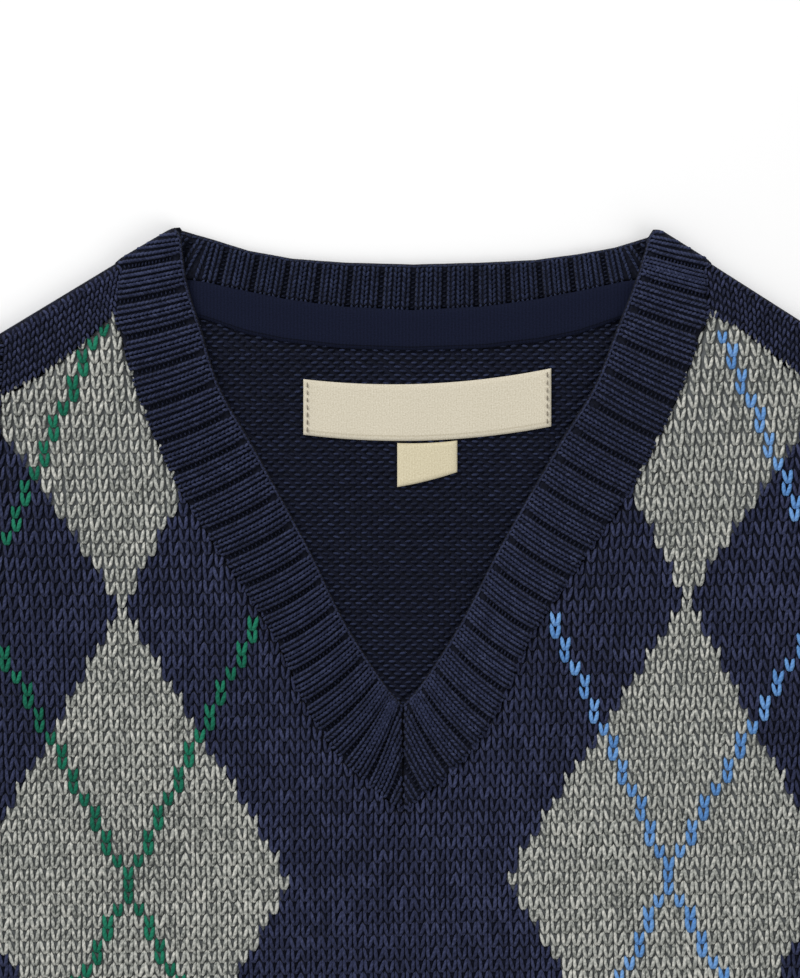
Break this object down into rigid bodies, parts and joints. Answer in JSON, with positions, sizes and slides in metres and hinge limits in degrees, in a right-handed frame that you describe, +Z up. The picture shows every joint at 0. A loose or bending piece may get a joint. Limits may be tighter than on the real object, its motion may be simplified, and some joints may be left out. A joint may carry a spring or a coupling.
{
  "type": "knitted sweater vest",
  "caption": "Child's sleeveless V-neck sweater vest in argyle knit, laid flat on its back, with ribbed neck, armholes and hem.",
  "frame": {"origin": "middle of the outline, on the surface that the vest lies on", "axes": "+Y from the hem to the neck, +Z up through the front, +X to the right as seen from above"},
  "size_m": [0.3462, 0.43, 0.0083],
  "materials": {
    "body_knit": "navy cotton stocking stitch, matt",
    "rib_knit": "navy cotton rib, matt",
    "argyle_grey": "grey marl cotton stitches, matt",
    "argyle_green": "green cotton stitches, matt",
    "argyle_blue": "light blue cotton stitches, matt",
    "neck_tape": "navy herringbone tape",
    "label_cloth": "cream woven label, bare",
    "tab_cloth": "cream woven tab"
  },
  "bodies": {
    "root": {"front_panel": "body_knit", "back_panel": "body_knit", "neckband_front_left": "rib_knit", "neckband_front_right": "rib_knit", "neckband_back": "rib_knit", "armhole_band_left": "rib_knit", "armhole_band_right": "rib_knit", "hem_rib_front": "rib_knit", "hem_rib_back": "rib_knit", "neck_tape": "neck_tape", "label": "label_cloth", "size_tab": "tab_cloth"}
  },
  "joints": []
}
